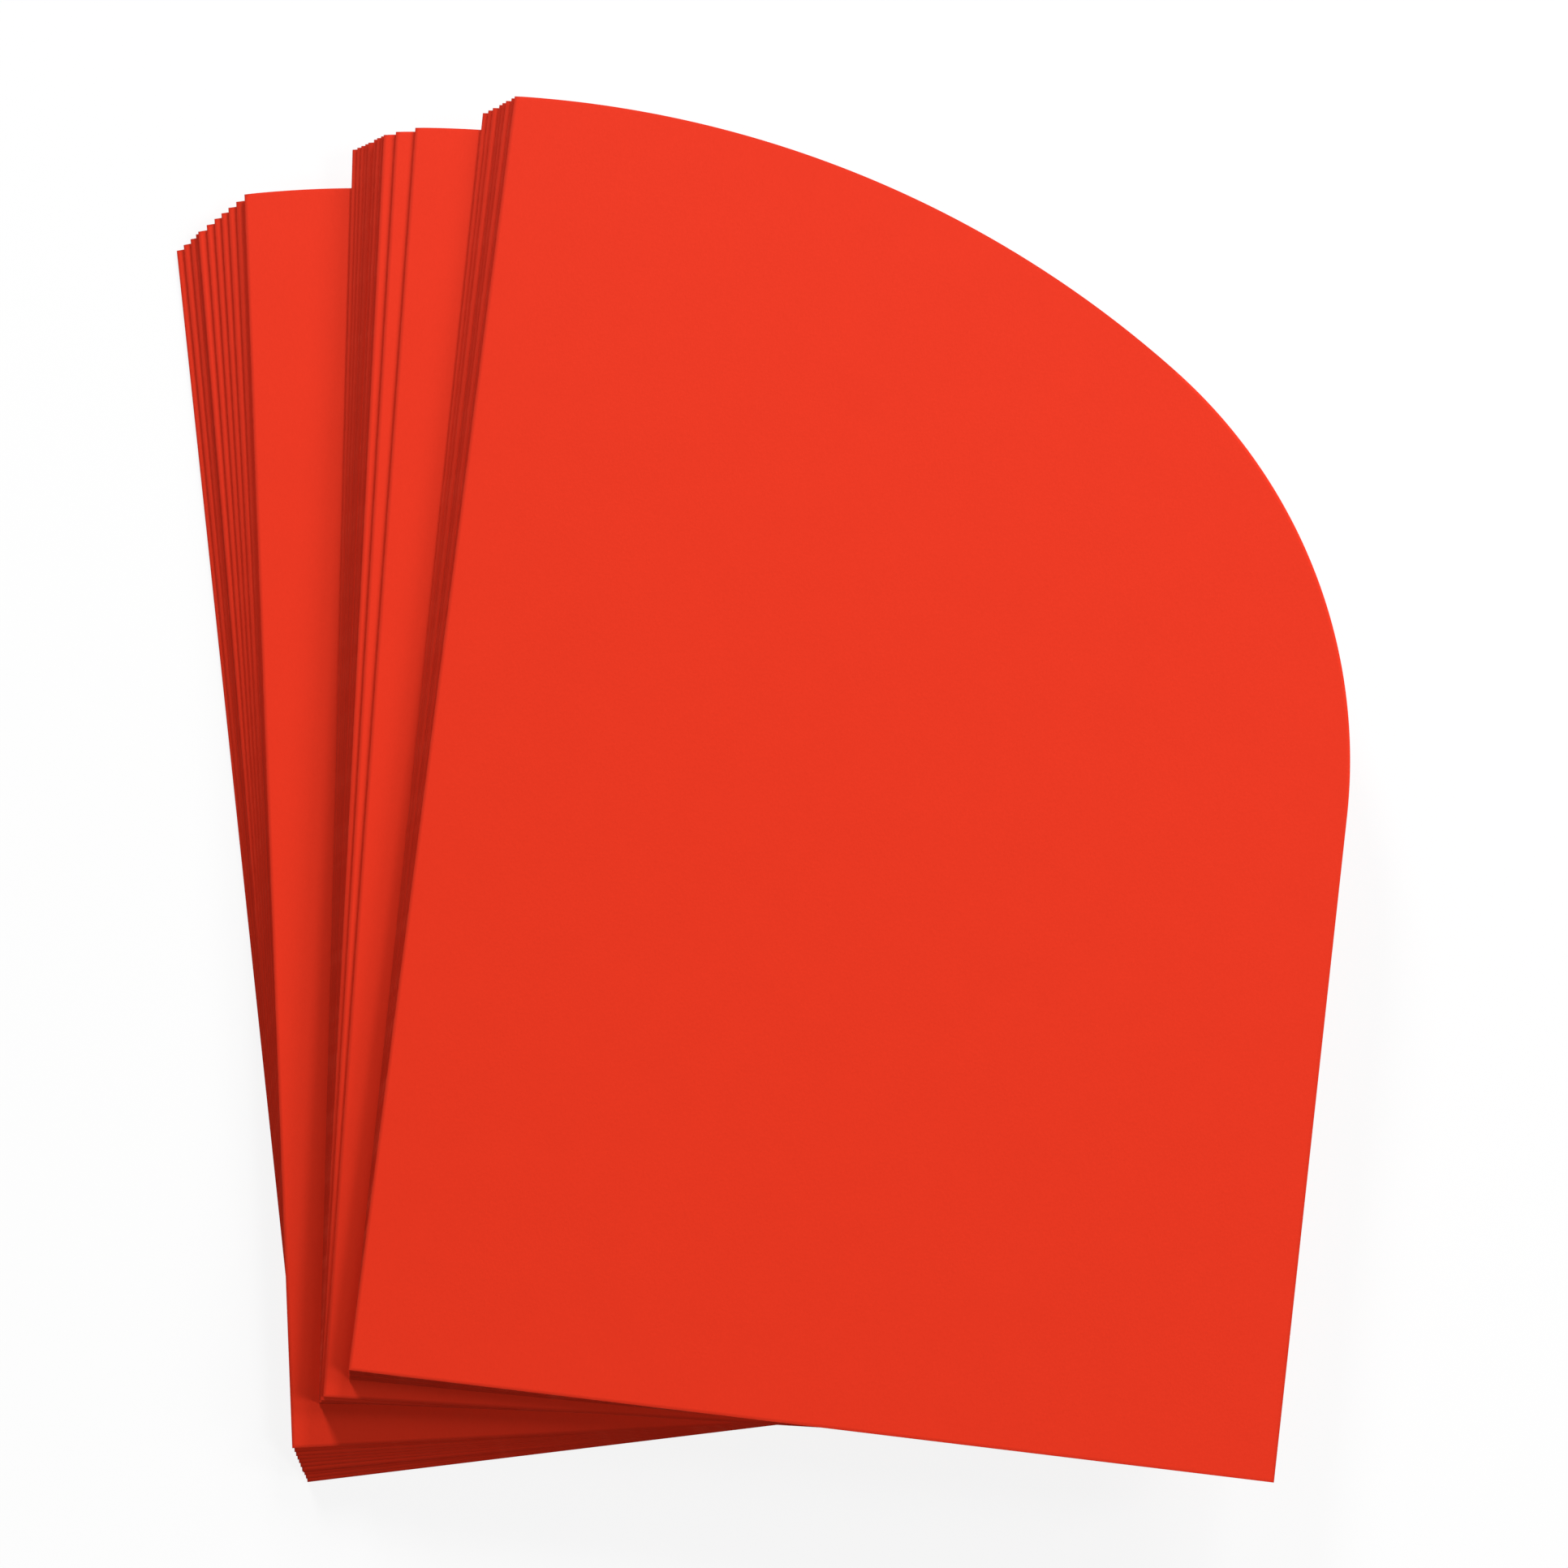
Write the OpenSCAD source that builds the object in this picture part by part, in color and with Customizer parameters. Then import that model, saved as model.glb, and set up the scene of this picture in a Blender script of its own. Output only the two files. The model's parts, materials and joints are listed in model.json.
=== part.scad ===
// A pack of loose card blanks, fanned out in three packets.
// Every blank has three square corners and one large arched corner.
// Millimetres, +Z up. The origin is on the table, under the middle of the fanned pack.

/* [Card] */
// Width of one card
card_w = 127; // [110:0.5:145]
// Height of one card along its straight left edge
card_h = 177.8; // [165:0.1:200]
// Thickness of the board
card_t = 0.3; // [0.2:0.01:0.4]
// Film of air between one card and the next
air_gap = 0.02; // [0.01:0.01:0.05]

/* [Arched corner] */
// Radius of the long arc that starts at the top of the left edge
crown_r = 151; // [146:0.5:158]
// Distance of the long arc's centre from the left edge
crown_inset = 9.6; // [4:0.1:14]
// Radius of the short arc that runs down into the right edge
shoulder_r = 72; // [60:0.5:78]

/* [Fan] */
// How far the pack is fanned: 0 is squared up, 1 is as it rests
spread = 1; // [0:0.05:1.6]
// Lowest card of the lower packet: corner x, corner y, lean in degrees
lower_first = [0, 0, 6.85]; // [-20:0.05:30]
// Top card of the lower packet
lower_last = [-1.25, 5.95, 2.95]; // [-20:0.05:30]
// Lowest card of the middle packet
middle_first = [2.45, 12.2, -0.85]; // [-20:0.05:30]
// Top card of the middle packet
middle_last = [3.95, 14.25, -3.5]; // [-20:0.05:30]
// Lowest card of the upper packet
upper_first = [7.5, 16.75, -5.45]; // [-20:0.05:30]
// Top card of the upper packet
upper_last = [8, 18.65, -6.85]; // [-20:0.05:30]

/* [Hidden] */
$fn = 96;

// Relative steps between neighbouring cards of a packet, lowest first
lower_steps = [1, 1, 0.8, 0.4, 1.2, 1.1, 1, 1, 1.1, 1.25, 0];
middle_steps = [1.2, 1, 1, 0.8, 1.5, 0, 0.8, 1, 0.7, 2.8, 4.4];
upper_steps = [1.2, 1, 1.4, 0.7, 0.8, 1.2, 0.7];

PACKETS = [
    ["lower", lower_first, lower_last, lower_steps],
    ["middle", middle_first, middle_last, middle_steps],
    ["upper", upper_first, upper_last, upper_steps],
];

// Centres of the two arcs: the short one touches both the long one and the right edge
crown_c = [crown_inset, card_h - crown_r];
shoulder_x = card_w - shoulder_r;
shoulder_rise = sqrt(pow(crown_r - shoulder_r, 2) - pow(shoulder_x - crown_inset, 2));
shoulder_c = [shoulder_x, crown_c.y + shoulder_rise];

// A pose is [corner x, corner y, lean]
function turned(p, a) = [p.x * cos(a) - p.y * sin(a), p.x * sin(a) + p.y * cos(a)];
function flat(pose) = [pose.x, pose.y];
function at(pose, p) = flat(pose) + turned(p, pose[2]);
function total(v, n) = n <= 0 ? 0 : v[n - 1] + total(v, n - 1);
function share(steps, j) = total(steps, j) / total(steps, len(steps));

// The cards of a packet step up from its lowest card to its top one
function rest_pose(first, last, steps, j) = first + (last - first) * share(steps, j);

// The point about which a card turns from square on the lowest card to its rest pose
function pivot(pose) =
    let (a = flat(lower_first), b = flat(pose), half = (pose[2] - lower_first[2]) / 2)
    (a + b) / 2 + turned(b - a, 90) / (2 * tan(half));

// A card that leans as the lowest one does has only slid
function fanned(pose) =
    let (a = flat(lower_first), turn = pose[2] - lower_first[2])
    abs(turn) < 0.01
        ? [each a + (flat(pose) - a) * spread, pose[2]]
        : let (c = pivot(pose))
            [each c + turned(a - c, turn * spread), lower_first[2] + turn * spread];

function two_digits(n) = str(n < 10 ? "0" : "", n);

// One entry per card, lowest first: its name and its pose
CARDS = [
    for (p = PACKETS)
        for (j = [0 : len(p[3])])
            let (pose = rest_pose(p[1], p[2], p[3], j))
            [str(p[0], "_card_", two_digits(j + 1)), fanned(pose)]
];

// The lowest card reaches furthest left and forward, the top card furthest right and back
middle = [
    (at(lower_first, [0, card_h]).x + at(upper_last, shoulder_c).x + shoulder_r) / 2,
    (min(0, at(upper_last, [card_w, 0]).y) + at(upper_last, [0, card_h]).y) / 2,
];

module outline() {
    intersection() {
        square([card_w, card_h]);
        union() {
            square([card_w, shoulder_c.y]);
            translate(shoulder_c) circle(shoulder_r);
            // the long arc ends where it touches the short one
            intersection() {
                translate(crown_c) circle(crown_r);
                polygon([
                    [-card_w, crown_c.y],
                    crown_c,
                    crown_c + 2 * (shoulder_c - crown_c),
                    crown_c + 5 * (shoulder_c - crown_c),
                    [-card_w, 2 * card_h],
                ]);
            }
        }
    }
}

module card(i) {
    pose = CARDS[i][1];
    color([0.91, 0.22, 0.14])
        translate([pose.x - middle.x, pose.y - middle.y, i * (card_t + air_gap)])
            rotate(pose[2])
                linear_extrude(card_t)
                    outline();
}

for (i = [0 : len(CARDS) - 1])
    card(i);
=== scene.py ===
import json
import math
import random
from itertools import combinations

import bpy
from mathutils import Matrix, Vector


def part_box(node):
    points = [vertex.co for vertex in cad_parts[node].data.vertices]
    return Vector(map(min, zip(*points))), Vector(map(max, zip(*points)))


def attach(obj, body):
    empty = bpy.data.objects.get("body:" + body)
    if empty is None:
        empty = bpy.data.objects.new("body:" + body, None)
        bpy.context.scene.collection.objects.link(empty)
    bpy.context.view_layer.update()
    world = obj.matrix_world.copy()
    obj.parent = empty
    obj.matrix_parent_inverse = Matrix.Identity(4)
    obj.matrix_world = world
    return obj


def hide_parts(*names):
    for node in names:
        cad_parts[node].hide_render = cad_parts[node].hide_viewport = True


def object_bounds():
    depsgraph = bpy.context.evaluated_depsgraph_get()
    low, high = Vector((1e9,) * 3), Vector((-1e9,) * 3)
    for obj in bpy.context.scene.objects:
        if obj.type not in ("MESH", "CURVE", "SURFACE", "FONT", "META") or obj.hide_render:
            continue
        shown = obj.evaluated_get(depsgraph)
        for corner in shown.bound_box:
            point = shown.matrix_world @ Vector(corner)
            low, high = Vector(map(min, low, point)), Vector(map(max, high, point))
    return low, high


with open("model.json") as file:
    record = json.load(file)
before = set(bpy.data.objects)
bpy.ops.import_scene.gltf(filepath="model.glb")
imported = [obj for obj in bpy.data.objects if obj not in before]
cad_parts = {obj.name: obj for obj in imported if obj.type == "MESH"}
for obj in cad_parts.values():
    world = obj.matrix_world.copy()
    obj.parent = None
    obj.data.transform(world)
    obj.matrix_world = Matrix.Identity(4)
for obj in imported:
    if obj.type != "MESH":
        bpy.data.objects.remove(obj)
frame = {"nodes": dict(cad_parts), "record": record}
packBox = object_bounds()
cardNodes = sorted(frame["nodes"], key=lambda name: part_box(name)[0].z)
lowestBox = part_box(cardNodes[0])
tiny = 1e-6                      # metres; closer than this is the same place
weldGap = 1e-5


def onlySelect(obj):
    bpy.ops.object.select_all(action="DESELECT")
    obj.select_set(True)
    bpy.context.view_layer.objects.active = obj


def pick(obj, kind, wanted):
    # leaves edit mode on, with only the vertices, edges or faces that wanted() accepts selected
    bpy.ops.object.mode_set(mode="EDIT")
    bpy.ops.mesh.select_mode(type=kind)
    bpy.ops.mesh.select_all(action="DESELECT")
    bpy.ops.object.mode_set(mode="OBJECT")
    mesh = obj.data
    for part in {"VERT": mesh.vertices, "EDGE": mesh.edges, "FACE": mesh.polygons}[kind]:
        part.select = bool(wanted(part))
    bpy.ops.object.mode_set(mode="EDIT")


def applyModifier(obj, kind, **settings):
    onlySelect(obj)
    modifier = obj.modifiers.new(kind.lower(), kind)
    for name, value in settings.items():
        setattr(modifier, name, value)
    bpy.ops.object.modifier_apply(modifier=modifier.name)


def towards(azimuth, elevation):
    # azimuth 0 is the front of the pack and 90 its right side
    a, e = math.radians(azimuth), math.radians(elevation)
    return Vector((math.sin(a) * math.cos(e), -math.cos(a) * math.cos(e), math.sin(e)))


def addSocket(tree, name, direction, kind, value=None):
    socket = tree.interface.new_socket(name=name, in_out=direction, socket_type=kind)
    if value is not None:
        socket.default_value = value
    return socket


def addNode(tree, kind, x, y, settings=None, **values):
    node = tree.nodes.new(kind)
    node.location = (x, y)
    for name, value in (settings or {}).items():
        setattr(node, name, value)
    for name, value in values.items():
        node.inputs[name.replace("_", " ")].default_value = value
    return node


def mathNode(tree, x, y, operation, first, second=None, clamp=False):
    node = addNode(tree, "ShaderNodeMath", x, y, {"operation": operation, "use_clamp": clamp})
    for socket, value in zip(node.inputs, (first, second)):
        if isinstance(value, bpy.types.NodeSocket):
            tree.links.new(value, socket)
        elif value is not None:
            socket.default_value = value
    return node.outputs[0]


fibreForm = {
    "lotShift": 3.7,             # metres along the web for one whole unit of lot
    "curl": 1.4,                 # how far the fibres stray from the grain
    "toothCount": 0.6,           # teeth to one fibre width
    "toothSmoothness": 0.7,
}
wearForm = {
    "wholeBelow": 0.45,          # patches under this level are not rubbed at all
    "rubbedAbove": 0.7,          # patches over this level are rubbed through
    "lipPower": 2.5,             # how fast the wear fades from the lip inwards
    "patchSize": 0.005,
}


def makeCardFibre():
    # the felt of the sheet: a cloudy formation, short fibres that run with the grain, and a fine tooth
    tree = bpy.data.node_groups.new("cardFibre", "ShaderNodeTree")
    addSocket(tree, "Place", "INPUT", "NodeSocketVector")
    addSocket(tree, "Lot", "INPUT", "NodeSocketFloat", 0.0)
    addSocket(tree, "Fibre Width", "INPUT", "NodeSocketFloat", 0.00012)
    addSocket(tree, "Fibre Stretch", "INPUT", "NodeSocketFloat", 4.0)
    addSocket(tree, "Cloud Size", "INPUT", "NodeSocketFloat", 0.006)
    addSocket(tree, "Cloud", "OUTPUT", "NodeSocketFloat")
    addSocket(tree, "Fibre", "OUTPUT", "NodeSocketFloat")
    addSocket(tree, "Tooth", "OUTPUT", "NodeSocketFloat")
    link = tree.links.new
    enter = addNode(tree, "NodeGroupInput", -1300, 0)
    leave = addNode(tree, "NodeGroupOutput", 700, 0)

    shift = addNode(tree, "ShaderNodeCombineXYZ", -1100, -250)      # another lot, another part of the web
    link(mathNode(tree, -1260, -250, "MULTIPLY", enter.outputs["Lot"], fibreForm["lotShift"]),
         shift.inputs["Z"])
    moved = addNode(tree, "ShaderNodeVectorMath", -900, 0, {"operation": "ADD"})
    link(enter.outputs["Place"], moved.inputs[0])
    link(shift.outputs[0], moved.inputs[1])

    cloud = addNode(tree, "ShaderNodeTexNoise", 0, 350, Detail=3.0, Roughness=0.6)
    link(moved.outputs[0], cloud.inputs["Vector"])
    link(mathNode(tree, -200, 350, "DIVIDE", 1.0, enter.outputs["Cloud Size"]), cloud.inputs["Scale"])

    across = mathNode(tree, -700, -300, "DIVIDE", 1.0, enter.outputs["Fibre Width"])
    along = mathNode(tree, -500, -300, "DIVIDE", across, enter.outputs["Fibre Stretch"])
    stretch = addNode(tree, "ShaderNodeCombineXYZ", -320, -300)
    link(across, stretch.inputs["X"])
    link(along, stretch.inputs["Y"])
    link(across, stretch.inputs["Z"])
    laid = addNode(tree, "ShaderNodeVectorMath", -150, -100, {"operation": "MULTIPLY"})
    link(moved.outputs[0], laid.inputs[0])
    link(stretch.outputs[0], laid.inputs[1])
    fibre = addNode(tree, "ShaderNodeTexNoise", 50, 0,
                    Scale=1.0, Detail=4.0, Roughness=0.65, Distortion=fibreForm["curl"])
    link(laid.outputs[0], fibre.inputs["Vector"])

    tooth = addNode(tree, "ShaderNodeTexVoronoi", 50, -350, {"feature": "SMOOTH_F1"},
                    Smoothness=fibreForm["toothSmoothness"])
    link(moved.outputs[0], tooth.inputs["Vector"])
    link(mathNode(tree, -150, -350, "MULTIPLY", across, fibreForm["toothCount"]), tooth.inputs["Scale"])

    link(cloud.outputs["Fac"], leave.inputs["Cloud"])
    link(fibre.outputs["Fac"], leave.inputs["Fibre"])
    link(tooth.outputs["Distance"], leave.inputs["Tooth"])
    return tree


def makeHandlingWear():
    # where the rim has been rubbed: strongest at the lip, broken up along it
    tree = bpy.data.node_groups.new("handlingWear", "ShaderNodeTree")
    addSocket(tree, "Place", "INPUT", "NodeSocketVector")
    addSocket(tree, "Rim", "INPUT", "NodeSocketFloat", 0.0)
    addSocket(tree, "Patch Size", "INPUT", "NodeSocketFloat", 0.004)
    addSocket(tree, "Amount", "INPUT", "NodeSocketFloat", 0.5)
    addSocket(tree, "Wear", "OUTPUT", "NodeSocketFloat")
    link = tree.links.new
    enter = addNode(tree, "NodeGroupInput", -800, 0)
    leave = addNode(tree, "NodeGroupOutput", 500, 0)
    patches = addNode(tree, "ShaderNodeTexNoise", -400, 100, Detail=5.0, Roughness=0.7)
    link(enter.outputs["Place"], patches.inputs["Vector"])
    link(mathNode(tree, -600, 100, "DIVIDE", 1.0, enter.outputs["Patch Size"]), patches.inputs["Scale"])
    broken = addNode(tree, "ShaderNodeMapRange", -200, 100, {"clamp": True},
                     From_Min=wearForm["wholeBelow"], From_Max=wearForm["rubbedAbove"])
    link(patches.outputs["Fac"], broken.inputs["Value"])
    lip = mathNode(tree, -200, -150, "POWER", enter.outputs["Rim"], wearForm["lipPower"])
    rubbed = mathNode(tree, 50, 0, "MULTIPLY", broken.outputs[0], lip)
    link(mathNode(tree, 250, 0, "MULTIPLY", rubbed, enter.outputs["Amount"], clamp=True),
         leave.inputs["Wear"])
    return tree


cardFibre = makeCardFibre()
handlingWear = makeHandlingWear()
print("stage: shared fibre and wear groups made")


cardFinish = {
    "dye": (0.834, 0.0369, 0.0111, 1),          # strong orange-red, dyed right through
    "deepDye": (0.685, 0.0275, 0.0082, 1),      # where the web is dense
    "scuffedDye": (0.86, 0.10, 0.05, 1),        # rubbed fibres, a little paler
    "rimShadeDye": (0.57, 0.0232, 0.0068, 1),    # painted shade: a deeper red for the rim where it turns from the lamps
    "coreDye": (0.70, 0.032, 0.0090, 1),        # the cut, where the fibres stand end on
    "coreDeepDye": (0.52, 0.020, 0.0060, 1),
    "lotSeed": 41,
    "lotSpread": 0.03,                          # how far one card's lot differs from the next
    "lotDepth": 0.5,                            # how much deeper the dye is for one whole unit of lot
    "faceBump": 0.5,
    "cutBump": 0.6,
    "toothBump": 0.5,                           # the tooth beside the fibres
    "reliefHeight": 0.00002,
}


def makeDyedCard(name, dye, deepDye, settings):
    material = bpy.data.materials.new(name)
    material.use_nodes = True
    tree = material.node_tree
    tree.nodes.clear()
    link = tree.links.new
    out = addNode(tree, "ShaderNodeOutputMaterial", 900, 0)
    shader = addNode(tree, "ShaderNodeBsdfPrincipled", 600, 0)
    shader.inputs["Specular IOR Level"].default_value = settings["gloss"]
    link(shader.outputs[0], out.inputs["Surface"])

    place = addNode(tree, "ShaderNodeAttribute", -1300, 100, {"attribute_name": "sheetPlace"})
    lot = addNode(tree, "ShaderNodeAttribute", -1300, -150, {"attribute_name": "dyeLot"})
    rim = addNode(tree, "ShaderNodeAttribute", -1300, -400, {"attribute_name": "rimWear"})
    # how much painted shade each rim point has
    paintedShade = addNode(tree, "ShaderNodeAttribute", -220, 400, {"attribute_name": "rimPaintedShade"})

    squeezed = addNode(tree, "ShaderNodeVectorMath", -1080, 100, {"operation": "MULTIPLY"})
    squeezed.inputs[1].default_value = settings["squeeze"]
    link(place.outputs["Vector"], squeezed.inputs[0])
    fibre = addNode(tree, "ShaderNodeGroup", -850, 100, {"node_tree": cardFibre},
                    Fibre_Width=settings["fibreWidth"], Fibre_Stretch=settings["fibreStretch"],
                    Cloud_Size=settings["cloudSize"])
    link(squeezed.outputs[0], fibre.inputs["Place"])
    link(lot.outputs["Fac"], fibre.inputs["Lot"])
    wear = addNode(tree, "ShaderNodeGroup", -850, -300, {"node_tree": handlingWear},
                   Patch_Size=wearForm["patchSize"], Amount=settings["wear"])
    link(place.outputs["Vector"], wear.inputs["Place"])
    link(rim.outputs["Fac"], wear.inputs["Rim"])

    # how deep the dye looks: cloud, fibre and lot together, then painted shade on the left and front rim,
    # and the wear
    cloud = mathNode(tree, -600, 300, "MULTIPLY", fibre.outputs["Cloud"], settings["cloudShare"])
    streak = mathNode(tree, -600, 150, "MULTIPLY", fibre.outputs["Fibre"], settings["fibreShare"])
    depth = mathNode(tree, -400, 200, "ADD", cloud, streak)
    ofLot = mathNode(tree, -400, 50, "MULTIPLY", lot.outputs["Fac"], cardFinish["lotDepth"])
    shade = mathNode(tree, -220, 200, "ADD", depth, ofLot, clamp=True)
    body = addNode(tree, "ShaderNodeMix", 0, 200, {"data_type": "RGBA"})
    body.inputs[6].default_value, body.inputs[7].default_value = dye, deepDye
    link(shade, body.inputs[0])
    # painted shade: the left and front rim mixed towards a deeper red
    shadedRim = addNode(tree, "ShaderNodeMix", 130, 400, {"data_type": "RGBA"})
    shadedRim.inputs[7].default_value = cardFinish["rimShadeDye"]
    link(paintedShade.outputs["Fac"], shadedRim.inputs[0])
    link(body.outputs[2], shadedRim.inputs[6])
    rubbed = addNode(tree, "ShaderNodeMix", 250, 150, {"data_type": "RGBA"})
    rubbed.inputs[7].default_value = cardFinish["scuffedDye"]
    link(wear.outputs["Wear"], rubbed.inputs[0])
    link(shadedRim.outputs[2], rubbed.inputs[6])
    link(rubbed.outputs[2], shader.inputs["Base Color"])

    rough = addNode(tree, "ShaderNodeMapRange", 0, -100, {"clamp": True},
                    To_Min=settings["roughness"][0], To_Max=settings["roughness"][1])
    link(fibre.outputs["Fibre"], rough.inputs["Value"])
    link(rough.outputs[0], shader.inputs["Roughness"])

    tooth = mathNode(tree, -200, -400, "MULTIPLY", fibre.outputs["Tooth"], cardFinish["toothBump"])
    relief = mathNode(tree, 0, -350, "ADD", fibre.outputs["Fibre"], tooth)
    bump = addNode(tree, "ShaderNodeBump", 300, -350,
                   Strength=settings["bump"], Distance=cardFinish["reliefHeight"])
    link(relief, bump.inputs["Height"])
    link(bump.outputs[0], shader.inputs["Normal"])
    return material


faceMaterial = makeDyedCard("dyedCardFace", cardFinish["dye"], cardFinish["deepDye"], {
    "gloss": 0.12, "squeeze": (1, 1, 1),
    "fibreWidth": 0.00022, "fibreStretch": 3.0, "cloudSize": 0.007,
    "cloudShare": 0.2, "fibreShare": 0.5, "wear": 0.08,
    "roughness": (0.72, 0.9), "bump": cardFinish["faceBump"]})
cutMaterial = makeDyedCard("dyedCardCut", cardFinish["coreDye"], cardFinish["coreDeepDye"], {
    "gloss": 0.08, "squeeze": (1, 1, 6),      # the plies of the board lie flat in the cut
    "fibreWidth": 0.0002, "fibreStretch": 1.0, "cloudSize": 0.004,
    "cloudShare": 0.5, "fibreShare": 0.6, "wear": 0.5,
    "roughness": (0.85, 1.0), "bump": cardFinish["cutBump"]})
print("stage: card finishes made")


cardShape = {                    # in metres, square on, the left front corner at the origin
    "width": 0.127,
    "height": 0.1778,
    "thickness": lowestBox[1].z - lowestBox[0].z,
    "crownRadius": 0.151,        # the long arc that starts at the left edge
    "crownInset": 0.0096,        # how far in from the left edge its centre lies
    "shoulderRadius": 0.072,     # the short arc down into the right edge
    "crownSteps": 84,
    "shoulderSteps": 72,
    "rimWidth": 0.0005,          # strip along the cut that the die has pressed; the painted rim shade lies on it
    "leftDrop": 0.00006,         # how far the upper left rim falls away towards the cut
    "leftShade": 1.0,            # how much painted shade darkens the left and the front rim, which turn from the lamps
    "frontShade": 0.25,
    "lipRound": 0.00004,         # rounding of the two lips of the cut
    "lipSteps": 2,
    "smoothAngle": 40,           # degrees; edges sharper than this stay crisp
}
crownCentre = Vector((cardShape["crownInset"], cardShape["height"] - cardShape["crownRadius"], 0))
shoulderX = cardShape["width"] - cardShape["shoulderRadius"]
centreGap = cardShape["crownRadius"] - cardShape["shoulderRadius"]
shoulderRise = math.sqrt(centreGap ** 2 - (shoulderX - crownCentre.x) ** 2)
shoulderCentre = Vector((shoulderX, crownCentre.y + shoulderRise, 0))
leftTop = Vector((0, crownCentre.y + math.sqrt(cardShape["crownRadius"] ** 2 - crownCentre.x ** 2), 0))


def angleOf(v):
    return math.atan2(v.y, v.x)


def liesFlat(face):
    return abs(face.normal.z) > 0.95


def modelBlank(shape):
    width, sideTop = shape["width"], shoulderCentre.y
    bpy.ops.mesh.primitive_plane_add(size=1, location=(width / 2, sideTop / 2, 0))
    blank = bpy.context.object
    blank.name = "cardBlank"
    onlySelect(blank)
    bpy.ops.transform.resize(value=(width, sideTop, 1))
    bpy.ops.object.transform_apply(location=True, rotation=True, scale=True)

    # the outline: the left edge is drawn up, then two arcs are spun down to the right edge
    pick(blank, "VERT", lambda v: v.co.x < tiny and v.co.y > tiny)
    bpy.ops.transform.translate(value=(0, leftTop.y - sideTop, 0))
    pick(blank, "FACE", lambda f: True)
    bpy.ops.mesh.delete(type="ONLY_FACE")
    points = blank.data.vertices
    pick(blank, "EDGE", lambda e: all(points[i].co.y > sideTop - tiny for i in e.vertices))
    bpy.ops.mesh.delete(type="EDGE")
    joinAngle = angleOf(shoulderCentre - crownCentre)
    joint = crownCentre + shape["crownRadius"] * Vector((math.cos(joinAngle), math.sin(joinAngle), 0))
    crownAngle = angleOf(leftTop - crownCentre) - joinAngle
    sweeps = [
        (crownCentre, leftTop, crownAngle, shape["crownSteps"]),
        (shoulderCentre, joint, joinAngle, shape["shoulderSteps"]),
    ]
    for centre, start, sweep, steps in sweeps:
        pick(blank, "VERT", lambda v: (v.co - start).length < weldGap)
        bpy.ops.mesh.spin(steps=steps, angle=sweep, center=centre, axis=(0, 0, 1))
    pick(blank, "VERT", lambda v: True)
    bpy.ops.mesh.remove_doubles(threshold=weldGap)
    bpy.ops.mesh.select_all(action="SELECT")
    bpy.ops.mesh.edge_face_add()

    # the board, its pressed rim, which falls away at the left, and the two rounded lips of the cut
    bpy.ops.mesh.extrude_region_move(TRANSFORM_OT_translate={"value": (0, 0, shape["thickness"])})
    bpy.ops.mesh.select_all(action="SELECT")
    bpy.ops.mesh.normals_make_consistent(inside=False)
    pick(blank, "FACE", liesFlat)
    bpy.ops.mesh.inset(thickness=shape["rimWidth"], depth=0)
    bpy.ops.object.mode_set(mode="OBJECT")
    pick(blank, "VERT", lambda v: v.co.x < tiny and v.co.z > shape["thickness"] / 2)
    bpy.ops.transform.translate(value=(0, 0, -shape["leftDrop"]))
    bpy.ops.object.mode_set(mode="OBJECT")
    lying = {}
    for face in blank.data.polygons:
        for key in face.edge_keys:
            lying.setdefault(key, set()).add(liesFlat(face))
    pick(blank, "EDGE", lambda e: len(lying[e.key]) == 2)
    bpy.ops.mesh.bevel(offset=shape["lipRound"], segments=shape["lipSteps"], profile=0.5, affect="EDGES")
    bpy.ops.object.mode_set(mode="OBJECT")
    return blank


def finishBlank(blank):
    mesh = blank.data
    mesh.materials.append(faceMaterial)
    mesh.materials.append(cutMaterial)
    for face in mesh.polygons:
        face.material_index = 0 if liesFlat(face) else 1
    onlySelect(blank)
    bpy.ops.object.shade_smooth_by_angle(angle=math.radians(cardShape["smoothAngle"]))
    applyModifier(blank, "WEIGHTED_NORMAL", keep_sharp=True)
    mesh.attributes.new("sheetPlace", "FLOAT_VECTOR", "POINT")
    for name in ("rimWear", "rimPaintedShade", "dyeLot"):
        mesh.attributes.new(name, "FLOAT", "POINT")
    place, rim, paintedShade = (mesh.attributes[name].data for name in ("sheetPlace", "rimWear", "rimPaintedShade"))
    broadest = max(len(face.vertices) for face in mesh.polygons)    # corners of each of the two broad faces
    inner = {i for face in mesh.polygons if len(face.vertices) == broadest for i in face.vertices}
    for v in mesh.vertices:
        place[v.index].vector = v.co
        if v.index in inner:
            continue
        rim[v.index].value = 1.0
        if v.co.z < cardShape["thickness"] / 2:
            continue
        # painted shade on the upper rim: full at the left edge, a little at the front
        if v.co.x < cardShape["rimWidth"] / 2:
            paintedShade[v.index].value = cardShape["leftShade"]
        elif v.co.y < cardShape["rimWidth"] / 2:
            paintedShade[v.index].value = cardShape["frontShade"]


blank = modelBlank(cardShape)
finishBlank(blank)
print("stage: blank modelled,", len(blank.data.polygons), "faces")


def placeOf(name):
    # a card's right front corner and the top of its left edge are its two points furthest apart
    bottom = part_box(name)[0].z
    points = {(round(v.co.x, 7), round(v.co.y, 7)) for v in frame["nodes"][name].data.vertices
              if v.co.z < bottom + tiny}
    ends = max(combinations(sorted(points), 2), key=lambda pair: math.dist(*pair))
    rightFront, leftBack = (Vector((*p, 0)) for p in sorted(ends, key=lambda p: p[1]))
    lean = angleOf(leftBack - rightFront) - angleOf(leftTop - Vector((cardShape["width"], 0, 0)))
    turn = Matrix.Rotation(lean, 4, "Z")
    corner = rightFront - turn @ Vector((cardShape["width"], 0, 0))
    return Matrix.Translation((corner.x, corner.y, bottom)) @ turn


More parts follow.
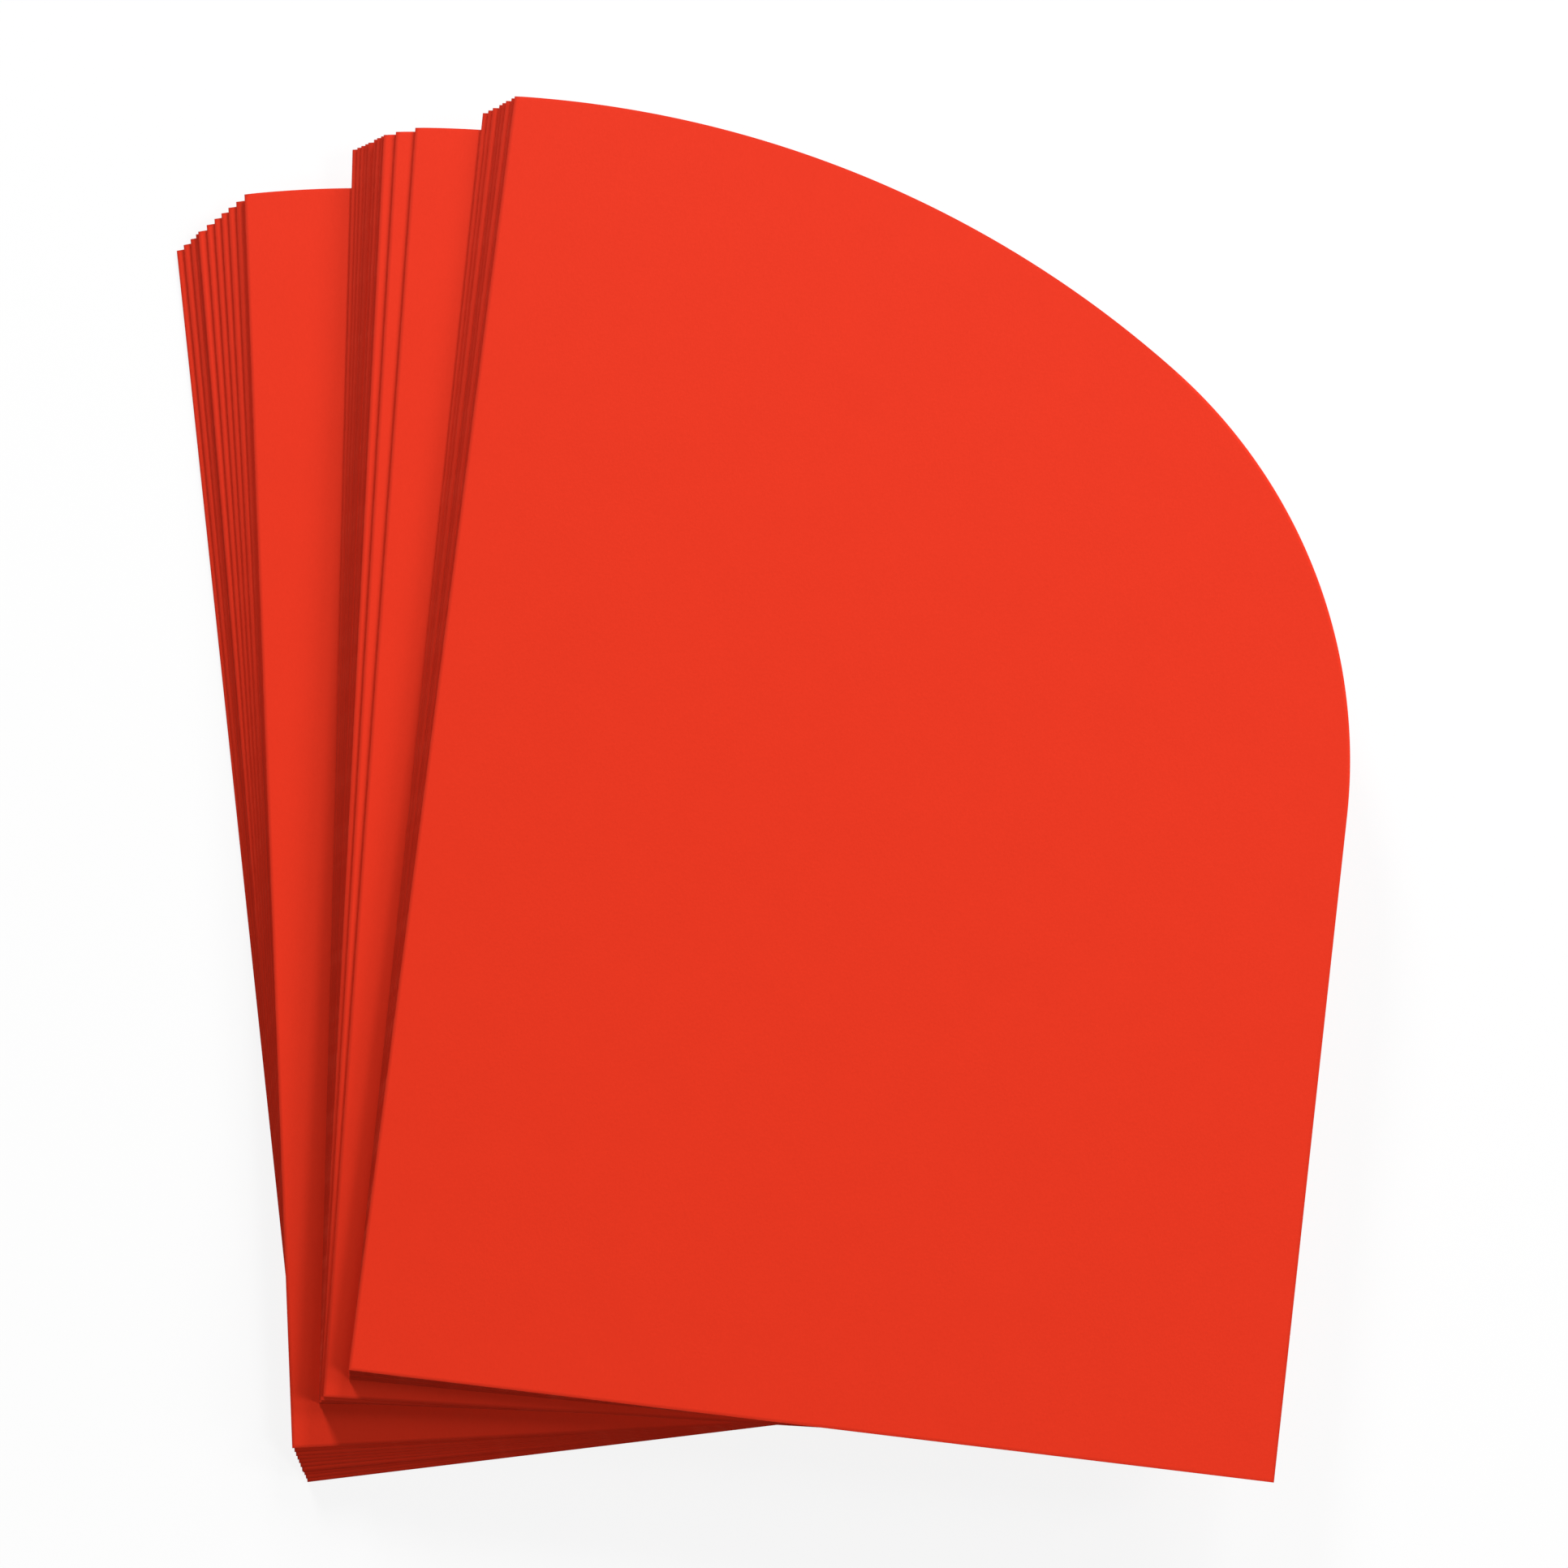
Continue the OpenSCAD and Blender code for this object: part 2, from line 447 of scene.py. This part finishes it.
dice = random.Random(cardFinish["lotSeed"])
bodyOf = {node: body for body, nodes in frame["record"]["behaviour"]["bodies"].items() for node in nodes}
for name in cardNodes:
    sheet = blank.copy()
    sheet.data = blank.data.copy()
    sheet.name = sheet.data.name = name + "_sheet"
    bpy.context.collection.objects.link(sheet)
    sheet.data.transform(placeOf(name))
    lot = dice.uniform(-1, 1)
    for item in sheet.data.attributes["dyeLot"].data:
        item.value = lot * cardFinish["lotSpread"]
    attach(sheet, bodyOf[name])
    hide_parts(name)
bpy.data.objects.remove(blank)
print("stage:", len(cardNodes), "cards placed")


studio = {
    "floorColour": (0.93, 0.93, 0.93, 1),
    "floorRoughness": 0.95,
    "floorGloss": 0.1,
    "floorRadius": 1.4,
    "floorGlow": 0.85,           # share of the floor's look that is plain white, to keep its shadows pale
    "skyColour": (1.0, 1.0, 1.0, 1),
    "skyLight": 0.1,             # what the surroundings give the cards
    "skySeen": 0.97,             # how bright the surroundings look
}
softboxes = {                    # azimuth, elevation, distance, size in metres and power in watts
    "sideHighBox": (90, 38, 2.2, 0.5, 16),
    "sideLowBox": (108, 22, 2.2, 0.5, 19),
    "cornerBox": (140, 18, 2.2, 0.5, 17),
    "backBox": (162, 18, 2.2, 0.5, 30),
    "backLeftBox": (198, 18, 2.2, 0.4, 46),
}

bpy.ops.mesh.primitive_circle_add(vertices=128, radius=studio["floorRadius"], fill_type="NGON",
                                  location=(0, 0, packBox[0].z))
floor = bpy.context.object
floor.name = "studioFloor"
floorMaterial = bpy.data.materials.new("paleFloor")
floorMaterial.use_nodes = True
floorTree = floorMaterial.node_tree
floorShader = floorTree.nodes["Principled BSDF"]
floorShader.inputs["Base Color"].default_value = studio["floorColour"]
floorShader.inputs["Roughness"].default_value = studio["floorRoughness"]
floorShader.inputs["Specular IOR Level"].default_value = studio["floorGloss"]
glow = addNode(floorTree, "ShaderNodeEmission", 0, -350)
seen = addNode(floorTree, "ShaderNodeLightPath", 0, 350)
blendIn = addNode(floorTree, "ShaderNodeMixShader", 350, 150)
glowShare = mathNode(floorTree, 180, 350, "MULTIPLY", seen.outputs["Is Camera Ray"], studio["floorGlow"])
floorTree.links.new(glowShare, blendIn.inputs[0])
floorTree.links.new(floorShader.outputs[0], blendIn.inputs[1])
floorTree.links.new(glow.outputs[0], blendIn.inputs[2])
floorTree.links.new(blendIn.outputs[0], floorTree.nodes["Material Output"].inputs["Surface"])
floor.data.materials.append(floorMaterial)

for name, (azimuth, elevation, distance, size, power) in softboxes.items():
    lamp = bpy.data.lights.new(name, "AREA")
    lamp.shape = "DISK"
    lamp.size, lamp.energy = size, power
    softbox = bpy.data.objects.new(name, lamp)
    bpy.context.collection.objects.link(softbox)
    softbox.location = distance * towards(azimuth, elevation)
    softbox.rotation_euler = towards(azimuth, elevation).to_track_quat("Z", "Y").to_euler()
    softbox.visible_camera = False

world = bpy.data.worlds.new("studioWorld")
world.use_nodes = True
skyTree = world.node_tree
sky = skyTree.nodes["Background"]
sky.inputs["Color"].default_value = studio["skyColour"]
ray = addNode(skyTree, "ShaderNodeLightPath", -600, 0)
strength = addNode(skyTree, "ShaderNodeMapRange", -300, 0,
                   To_Min=studio["skyLight"], To_Max=studio["skySeen"])
skyTree.links.new(ray.outputs["Is Camera Ray"], strength.inputs["Value"])
skyTree.links.new(strength.outputs[0], sky.inputs["Strength"])
bpy.context.scene.world = world
bpy.context.scene.view_settings.view_transform = "Standard"

cameraSetup = {
    "azimuth": -12.127,
    "elevation": 87.827,
    "roll": 0.132,
    "distance": 0.24534,
    "aim": (0.005026, 0.001410, 0.0),
    "focalLength": 39.107,
    "sensorWidth": 36.0,
    "clipStart": 0.01,
    "clipEnd": 50,
}
back = towards(cameraSetup["azimuth"], cameraSetup["elevation"])
right = Vector((0, 1, 0)).cross(back).normalized()
up = back.cross(right)
roll = math.radians(cameraSetup["roll"])
cosRoll, sinRoll = math.cos(roll), math.sin(roll)
right, up = cosRoll * right + sinRoll * up, cosRoll * up - sinRoll * right
cameraData = bpy.data.cameras.new("studioCamera")
cameraData.lens, cameraData.sensor_width = cameraSetup["focalLength"], cameraSetup["sensorWidth"]
cameraData.clip_start, cameraData.clip_end = cameraSetup["clipStart"], cameraSetup["clipEnd"]
camera = bpy.data.objects.new("studioCamera", cameraData)
bpy.context.collection.objects.link(camera)
where = Vector(cameraSetup["aim"]) + cameraSetup["distance"] * back
camera.matrix_world = Matrix.Translation(where) @ Matrix((right, up, back)).transposed().to_4x4()
bpy.context.scene.camera = camera
print("stage: studio set")
